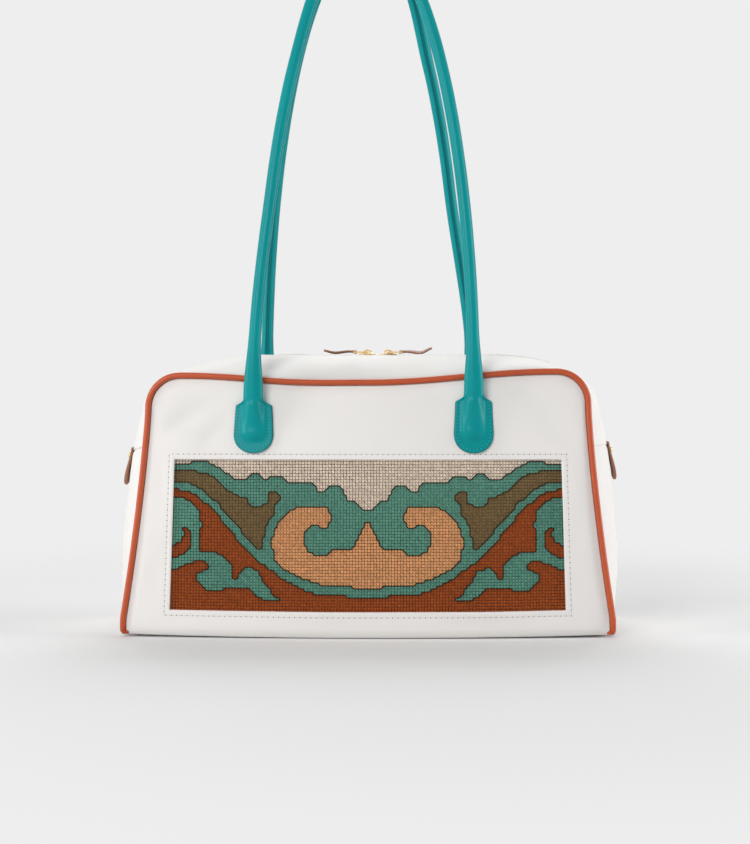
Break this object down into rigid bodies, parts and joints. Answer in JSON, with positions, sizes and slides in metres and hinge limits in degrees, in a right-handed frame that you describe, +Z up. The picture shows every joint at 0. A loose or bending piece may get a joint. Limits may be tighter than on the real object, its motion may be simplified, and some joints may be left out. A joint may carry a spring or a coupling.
{
  "type": "shoulder bag",
  "caption": "Trapezoid leather shoulder bag with piped seams, a stitched scroll panel let into the front, a two-way zip over the top and long rolled handles.",
  "frame": {"origin": "on the floor under the middle of the bag", "axes": "+Z up, -Y towards the stitched front, +X to the viewer's right"},
  "size_m": [0.3692, 0.139, 0.5185],
  "materials": {
    "white_leather": "smooth white leather, fine grain",
    "board": "fibre board",
    "piping_leather": "orange-brown leather over cord",
    "canvas": "open-weave canvas, dark between the stitches",
    "thread_teal": "stitched thread",
    "thread_peach": "stitched thread",
    "thread_sand": "stitched thread",
    "thread_olive": "stitched thread",
    "thread_rust": "stitched thread",
    "lining": "plain cotton",
    "teal_leather": "glossy teal leather",
    "zip_tape": "woven tape",
    "brass": "polished",
    "brown_leather": "dark brown leather"
  },
  "bodies": {
    "bag": {"front_panel": "white_leather", "back_panel": "white_leather", "bottom_panel": "white_leather", "base_board": "board", "side_gusset_left": "white_leather", "side_gusset_right": "white_leather", "zip_strip_front": "white_leather", "zip_strip_back": "white_leather", "piping_front": "piping_leather", "piping_back": "piping_leather", "picture_canvas": "canvas", "thread_teal": "thread_teal", "thread_peach": "thread_peach", "thread_sand": "thread_sand", "thread_olive": "thread_olive", "thread_rust": "thread_rust", "lining_front": "lining", "lining_back": "lining", "lining_gusset": "lining", "lining_base": "lining", "handle_front": "teal_leather", "handle_back": "teal_leather", "zip_tape_front": "zip_tape", "zip_tape_back": "zip_tape", "zip_teeth_front": "brass", "zip_teeth_back": "brass", "zip_end_tab_left": "brown_leather", "zip_end_tab_right": "brown_leather"},
    "slider_left": {"zip_slider_left": "brass"},
    "slider_right": {"zip_slider_right": "brass"},
    "pull_left": {"pull_link_left": "brass", "pull_strip_left": "brown_leather"},
    "pull_right": {"pull_link_right": "brass", "pull_strip_right": "brown_leather"}
  },
  "joints": [
    {"name": "slider_left_run", "type": "slide", "parent": "bag", "child": "slider_left", "axis": [-1, 0, 0], "range_m": [0, 0.066]},
    {"name": "slider_right_run", "type": "slide", "parent": "bag", "child": "slider_right", "axis": [1, 0, 0], "range_m": [0, 0.066]},
    {"name": "pull_left_swing", "type": "hinge", "parent": "slider_left", "child": "pull_left", "pos_m": [-0.00175, 0, 0.20555], "axis": [0, 1, 0], "range_deg": [0, 95]},
    {"name": "pull_right_swing", "type": "hinge", "parent": "slider_right", "child": "pull_right", "pos_m": [0.01375, 0, 0.20555], "axis": [0, -1, 0], "range_deg": [0, 95]}
  ]
}
